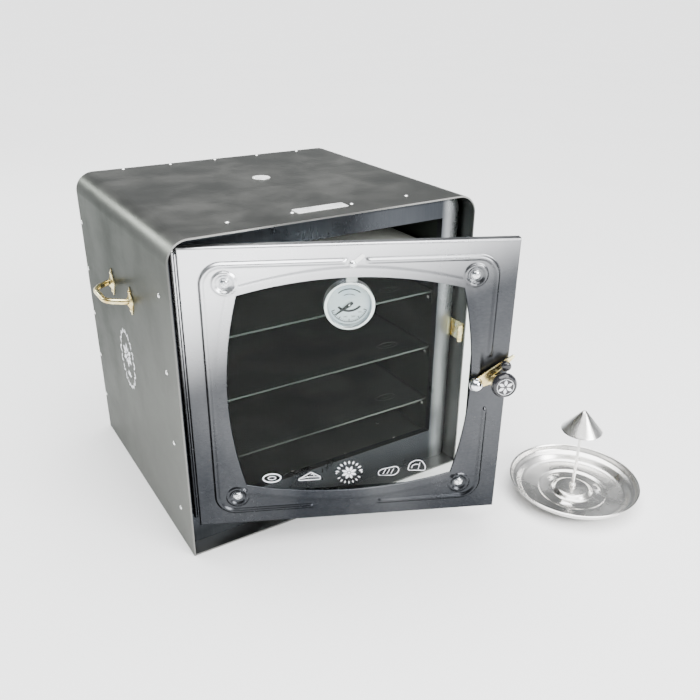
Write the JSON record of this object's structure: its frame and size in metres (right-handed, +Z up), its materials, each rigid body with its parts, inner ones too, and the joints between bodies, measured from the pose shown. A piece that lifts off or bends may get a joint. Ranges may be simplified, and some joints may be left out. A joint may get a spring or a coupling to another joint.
{
  "type": "stovetop box oven",
  "caption": "Sheet-metal box oven that stands over a stove burner, with a glazed hinged door, thermometer, shelves, side handles and a loose drip dish with a flame cone.",
  "frame": {"origin": "centre of the round flame opening, on the face that the oven stands on", "axes": "+X to the user's right, -Y towards the user at the door, +Z up"},
  "size_m": [0.6189, 0.5934, 0.4022],
  "materials": {
    "casing_sheet": "plain rolled sheet, satin, faint mottling",
    "liner_sheet": "dull rolled sheet",
    "baffle_sheet": "pale matt sheet",
    "shelf_sheet": "dark smooth sheet",
    "door_sheet": "pressed sheet, satin",
    "rivet_metal": "bright",
    "bright_plate": "bright",
    "window_glass": "clear",
    "seal_fibre": "woven heat-resistant tape",
    "dial_face": "printed, satin",
    "needle_paint": "satin black",
    "bimetal_strip": "rolled strip",
    "can_metal": "spun",
    "brass_plate": "yellow zinc plating",
    "black_bakelite": "moulded, glossy",
    "polished_dish": "polished steel"
  },
  "bodies": {
    "cabinet": {"outer_shell": "casing_sheet", "base_plate": "casing_sheet", "back_panel": "casing_sheet", "front_frame": "casing_sheet", "front_rivets": "rivet_metal", "back_rivets": "rivet_metal", "label_plate": "bright_plate", "vent_tube": "liner_sheet", "vent_rivet": "rivet_metal", "inner_wall_left": "liner_sheet", "inner_wall_right": "liner_sheet", "inner_wall_back": "liner_sheet", "inner_roof": "liner_sheet", "top_baffle": "baffle_sheet", "oven_floor": "liner_sheet", "heat_spreader": "liner_sheet", "floor_rivets": "rivet_metal", "shelf_runners_left": "liner_sheet", "shelf_runners_right": "liner_sheet", "runner_rivets_left": "rivet_metal", "runner_rivets_right": "rivet_metal", "hinge_leaf_fixed": "door_sheet", "hinge_pin": "rivet_metal", "recess_rivets": "rivet_metal", "keeper": "brass_plate", "handle_left": "brass_plate", "handle_right": "brass_plate", "handle_feet_left": "brass_plate", "handle_feet_right": "brass_plate", "handle_rivets": "brass_plate"},
    "door": {"door_skin": "door_sheet", "door_back_frame": "door_sheet", "window_glass": "window_glass", "glass_seal": "seal_fibre", "corner_screws": "bright_plate", "door_nuts": "rivet_metal", "bracket_screw": "bright_plate", "screw_tab": "bright_plate", "hinge_leaf_door": "door_sheet", "hinge_rivets_door": "rivet_metal", "thermometer_can": "can_metal", "thermometer_bezel": "bright_plate", "thermometer_lens": "window_glass", "thermometer_dial": "dial_face", "thermometer_spindle": "bright_plate", "bimetal_coil": "bimetal_strip", "thermometer_bracket": "can_metal", "latch_pivot_screw": "bright_plate"},
    "latch": {"latch_lever": "brass_plate", "latch_tip_knob": "black_bakelite", "latch_knob_stem": "brass_plate", "latch_knob": "black_bakelite"},
    "needle": {"thermometer_needle": "needle_paint"},
    "shelf_lower": {"shelf_lower": "shelf_sheet"},
    "shelf_middle": {"shelf_middle": "shelf_sheet"},
    "shelf_upper": {"shelf_upper": "shelf_sheet"},
    "vent_cap": {"vent_cap": "bright_plate"},
    "dish": {"drip_dish": "polished_dish", "dish_stem": "polished_dish", "cone_hat": "polished_dish"}
  },
  "joints": [
    {"name": "door_hinge", "type": "hinge", "parent": "cabinet", "child": "door", "pos_m": [-0.19, -0.161, 0.2115], "axis": [0, 0, -1], "range_deg": [-24.7, 44.8]},
    {"name": "latch_turn", "type": "hinge", "parent": "door", "child": "latch", "pos_m": [0.11017, -0.31007, 0.215], "axis": [-0.4179, -0.9085, 0], "range_deg": [-38.9, 35]},
    {"name": "thermometer_needle_turn", "type": "hinge", "parent": "door", "child": "needle", "pos_m": [-0.02429, -0.24823, 0.315], "axis": [-0.4179, -0.9085, 0], "range_deg": [-16, 108]},
    {"name": "shelf_lower_slide", "type": "slide", "parent": "cabinet", "child": "shelf_lower", "axis": [0, -1, 0], "range_m": [0, 0.012]},
    {"name": "shelf_middle_slide", "type": "slide", "parent": "cabinet", "child": "shelf_middle", "axis": [0, -1, 0], "range_m": [0, 0.012]},
    {"name": "shelf_upper_slide", "type": "slide", "parent": "cabinet", "child": "shelf_upper", "axis": [0, -1, 0], "range_m": [0, 0.012]},
    {"name": "vent_swivel", "type": "hinge", "parent": "cabinet", "child": "vent_cap", "pos_m": [-0.004, 0.03, 0.4], "axis": [0, 0, 1], "range_deg": [0, 120]},
    {"name": "dish_lift", "type": "slide", "parent": "cabinet", "child": "dish", "axis": [0, 0, 1], "range_m": [0, 0.25]}
  ]
}
